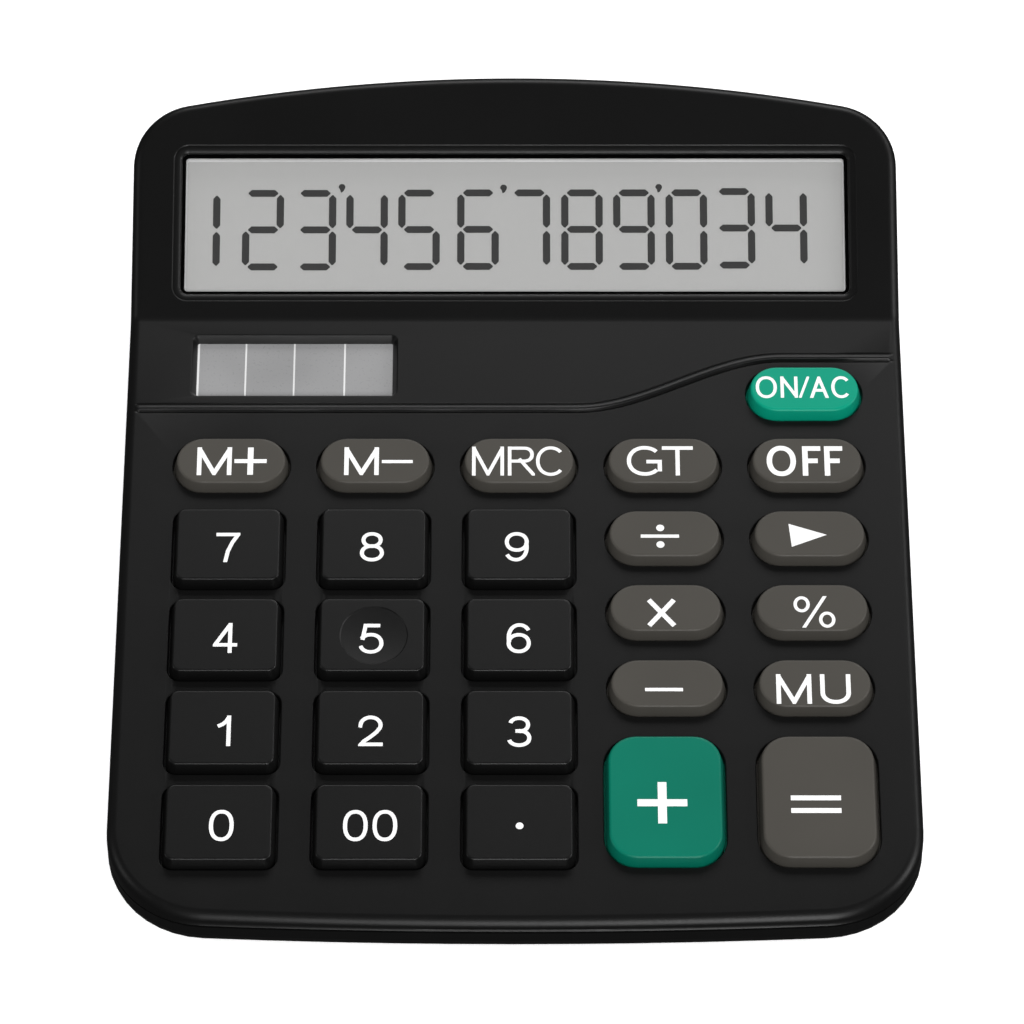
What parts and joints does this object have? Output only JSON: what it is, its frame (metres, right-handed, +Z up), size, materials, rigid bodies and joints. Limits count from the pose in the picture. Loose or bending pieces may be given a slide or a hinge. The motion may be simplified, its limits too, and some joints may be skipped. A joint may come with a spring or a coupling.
{
  "type": "desk calculator",
  "caption": "Wedge-shaped desk calculator with a tilted digit display, a small solar cell and sprung number and function keys.",
  "frame": {"origin": "centre of the footprint, on the table under the feet", "axes": "+X across the keys to the user's right, +Y away from the user along the length, +Z up"},
  "size_m": [0.118, 0.147, 0.0372],
  "materials": {
    "case_black": "satin, very fine texture",
    "key_black": "satin",
    "key_grey": "satin, warm grey",
    "key_green": "satin, bluish green",
    "clear_window": "clear",
    "lcd_glass": "grey display glass",
    "lcd_film": "matte film",
    "inner_plastic": "matt",
    "flat_cable": "amber film",
    "solar_glass": "grey cells under glass",
    "circuit_board": "green lacquer",
    "silicone": "matt",
    "carbon": "matt",
    "chip_cover": "black resin",
    "capacitor_sleeve": "blue sleeve",
    "cell_jacket": "printed jacket",
    "contact_metal": "nickel plated",
    "screw_metal": "zinc plated",
    "red_wire": "smooth sleeve",
    "black_wire": "smooth sleeve",
    "foot_rubber": "matt"
  },
  "bodies": {
    "case": {"top_case": "case_black", "bottom_case": "case_black", "display_window": "clear_window", "lcd_glass": "lcd_glass", "lcd_reflector": "lcd_film", "lcd_holder": "inner_plastic", "lcd_ribbon": "flat_cable", "solar_cell": "solar_glass", "solar_leads": "red_wire", "main_board": "circuit_board", "key_membrane": "silicone", "carbon_pills": "carbon", "controller": "chip_cover", "capacitor": "capacitor_sleeve", "battery_cell": "cell_jacket", "battery_spring": "contact_metal", "battery_plate": "contact_metal", "lead_red": "red_wire", "lead_black": "black_wire", "case_screws": "screw_metal", "board_screws": "screw_metal", "rubber_feet": "foot_rubber"},
    "battery_door": {"battery_door": "case_black"},
    "key_0": {"key_0": "key_black"},
    "key_00": {"key_00": "key_black"},
    "key_point": {"key_point": "key_black"},
    "key_1": {"key_1": "key_black"},
    "key_2": {"key_2": "key_black"},
    "key_3": {"key_3": "key_black"},
    "key_4": {"key_4": "key_black"},
    "key_5": {"key_5": "key_black"},
    "key_6": {"key_6": "key_black"},
    "key_7": {"key_7": "key_black"},
    "key_8": {"key_8": "key_black"},
    "key_9": {"key_9": "key_black"},
    "key_plus": {"key_plus": "key_green"},
    "key_equals": {"key_equals": "key_grey"},
    "key_minus": {"key_minus": "key_grey"},
    "key_mark_up": {"key_mark_up": "key_grey"},
    "key_times": {"key_times": "key_grey"},
    "key_percent": {"key_percent": "key_grey"},
    "key_divide": {"key_divide": "key_grey"},
    "key_right": {"key_right": "key_grey"},
    "key_mem_plus": {"key_mem_plus": "key_grey"},
    "key_mem_minus": {"key_mem_minus": "key_grey"},
    "key_mem_recall": {"key_mem_recall": "key_grey"},
    "key_total": {"key_total": "key_grey"},
    "key_off": {"key_off": "key_grey"},
    "key_on": {"key_on": "key_green"}
  },
  "joints": [
    {"name": "key_0_press", "type": "slide", "parent": "case", "child": "key_0", "axis": [0, 0.1219, -0.9925], "range_m": [0, 0.0013], "stiffness_N_per_m": 300, "springref_m": -0.0008, "deforming": ["key_membrane", "carbon_pills"]},
    {"name": "key_00_press", "type": "slide", "parent": "case", "child": "key_00", "axis": [0, 0.1219, -0.9925], "range_m": [0, 0.0013], "stiffness_N_per_m": 300, "springref_m": -0.0008, "deforming": ["key_membrane", "carbon_pills"]},
    {"name": "key_point_press", "type": "slide", "parent": "case", "child": "key_point", "axis": [0, 0.1219, -0.9925], "range_m": [0, 0.0013], "stiffness_N_per_m": 300, "springref_m": -0.0008, "deforming": ["key_membrane", "carbon_pills"]},
    {"name": "key_1_press", "type": "slide", "parent": "case", "child": "key_1", "axis": [0, 0.1219, -0.9925], "range_m": [0, 0.0013], "stiffness_N_per_m": 300, "springref_m": -0.0008, "deforming": ["key_membrane", "carbon_pills"]},
    {"name": "key_2_press", "type": "slide", "parent": "case", "child": "key_2", "axis": [0, 0.1219, -0.9925], "range_m": [0, 0.0013], "stiffness_N_per_m": 300, "springref_m": -0.0008, "deforming": ["key_membrane", "carbon_pills"]},
    {"name": "key_3_press", "type": "slide", "parent": "case", "child": "key_3", "axis": [0, 0.1219, -0.9925], "range_m": [0, 0.0013], "stiffness_N_per_m": 300, "springref_m": -0.0008, "deforming": ["key_membrane", "carbon_pills"]},
    {"name": "key_4_press", "type": "slide", "parent": "case", "child": "key_4", "axis": [0, 0.1219, -0.9925], "range_m": [0, 0.0013], "stiffness_N_per_m": 300, "springref_m": -0.0008, "deforming": ["key_membrane", "carbon_pills"]},
    {"name": "key_5_press", "type": "slide", "parent": "case", "child": "key_5", "axis": [0, 0.1219, -0.9925], "range_m": [0, 0.0013], "stiffness_N_per_m": 300, "springref_m": -0.0008, "deforming": ["key_membrane", "carbon_pills"]},
    {"name": "key_6_press", "type": "slide", "parent": "case", "child": "key_6", "axis": [0, 0.1219, -0.9925], "range_m": [0, 0.0013], "stiffness_N_per_m": 300, "springref_m": -0.0008, "deforming": ["key_membrane", "carbon_pills"]},
    {"name": "key_7_press", "type": "slide", "parent": "case", "child": "key_7", "axis": [0, 0.1219, -0.9925], "range_m": [0, 0.0013], "stiffness_N_per_m": 300, "springref_m": -0.0008, "deforming": ["key_membrane", "carbon_pills"]},
    {"name": "key_8_press", "type": "slide", "parent": "case", "child": "key_8", "axis": [0, 0.1219, -0.9925], "range_m": [0, 0.0013], "stiffness_N_per_m": 300, "springref_m": -0.0008, "deforming": ["key_membrane", "carbon_pills"]},
    {"name": "key_9_press", "type": "slide", "parent": "case", "child": "key_9", "axis": [0, 0.1219, -0.9925], "range_m": [0, 0.0013], "stiffness_N_per_m": 300, "springref_m": -0.0008, "deforming": ["key_membrane", "carbon_pills"]},
    {"name": "key_plus_press", "type": "slide", "parent": "case", "child": "key_plus", "axis": [0, 0.1219, -0.9925], "range_m": [0, 0.0013], "stiffness_N_per_m": 300, "springref_m": -0.0008, "deforming": ["key_membrane", "carbon_pills"]},
    {"name": "key_equals_press", "type": "slide", "parent": "case", "child": "key_equals", "axis": [0, 0.1219, -0.9925], "range_m": [0, 0.0013], "stiffness_N_per_m": 300, "springref_m": -0.0008, "deforming": ["key_membrane", "carbon_pills"]},
    {"name": "key_minus_press", "type": "slide", "parent": "case", "child": "key_minus", "axis": [0, 0.1219, -0.9925], "range_m": [0, 0.0013], "stiffness_N_per_m": 300, "springref_m": -0.0008, "deforming": ["key_membrane", "carbon_pills"]},
    {"name": "key_mark_up_press", "type": "slide", "parent": "case", "child": "key_mark_up", "axis": [0, 0.1219, -0.9925], "range_m": [0, 0.0013], "stiffness_N_per_m": 300, "springref_m": -0.0008, "deforming": ["key_membrane", "carbon_pills"]},
    {"name": "key_times_press", "type": "slide", "parent": "case", "child": "key_times", "axis": [0, 0.1219, -0.9925], "range_m": [0, 0.0013], "stiffness_N_per_m": 300, "springref_m": -0.0008, "deforming": ["key_membrane", "carbon_pills"]},
    {"name": "key_percent_press", "type": "slide", "parent": "case", "child": "key_percent", "axis": [0, 0.1219, -0.9925], "range_m": [0, 0.0013], "stiffness_N_per_m": 300, "springref_m": -0.0008, "deforming": ["key_membrane", "carbon_pills"]},
    {"name": "key_divide_press", "type": "slide", "parent": "case", "child": "key_divide", "axis": [0, 0.1219, -0.9925], "range_m": [0, 0.0013], "stiffness_N_per_m": 300, "springref_m": -0.0008, "deforming": ["key_membrane", "carbon_pills"]},
    {"name": "key_right_press", "type": "slide", "parent": "case", "child": "key_right", "axis": [0, 0.1219, -0.9925], "range_m": [0, 0.0013], "stiffness_N_per_m": 300, "springref_m": -0.0008, "deforming": ["key_membrane", "carbon_pills"]},
    {"name": "key_mem_plus_press", "type": "slide", "parent": "case", "child": "key_mem_plus", "axis": [0, 0.1219, -0.9925], "range_m": [0, 0.0013], "stiffness_N_per_m": 300, "springref_m": -0.0008, "deforming": ["key_membrane", "carbon_pills"]},
    {"name": "key_mem_minus_press", "type": "slide", "parent": "case", "child": "key_mem_minus", "axis": [0, 0.1219, -0.9925], "range_m": [0, 0.0013], "stiffness_N_per_m": 300, "springref_m": -0.0008, "deforming": ["key_membrane", "carbon_pills"]},
    {"name": "key_mem_recall_press", "type": "slide", "parent": "case", "child": "key_mem_recall", "axis": [0, 0.1219, -0.9925], "range_m": [0, 0.0013], "stiffness_N_per_m": 300, "springref_m": -0.0008, "deforming": ["key_membrane", "carbon_pills"]},
    {"name": "key_total_press", "type": "slide", "parent": "case", "child": "key_total", "axis": [0, 0.1219, -0.9925], "range_m": [0, 0.0013], "stiffness_N_per_m": 300, "springref_m": -0.0008, "deforming": ["key_membrane", "carbon_pills"]},
    {"name": "key_off_press", "type": "slide", "parent": "case", "child": "key_off", "axis": [0, 0.1219, -0.9925], "range_m": [0, 0.0013], "stiffness_N_per_m": 300, "springref_m": -0.0008, "deforming": ["key_membrane", "carbon_pills"]},
    {"name": "key_on_press", "type": "slide", "parent": "case", "child": "key_on", "axis": [0, 0.1219, -0.9925], "range_m": [0, 0.0013], "stiffness_N_per_m": 300, "springref_m": -0.0008, "deforming": ["key_membrane", "carbon_pills"]},
    {"name": "battery_door_hinge", "type": "hinge", "parent": "case", "child": "battery_door", "pos_m": [0, 0.04225, 0.00195], "axis": [-1, 0, 0], "range_deg": [0, 75]}
  ]
}
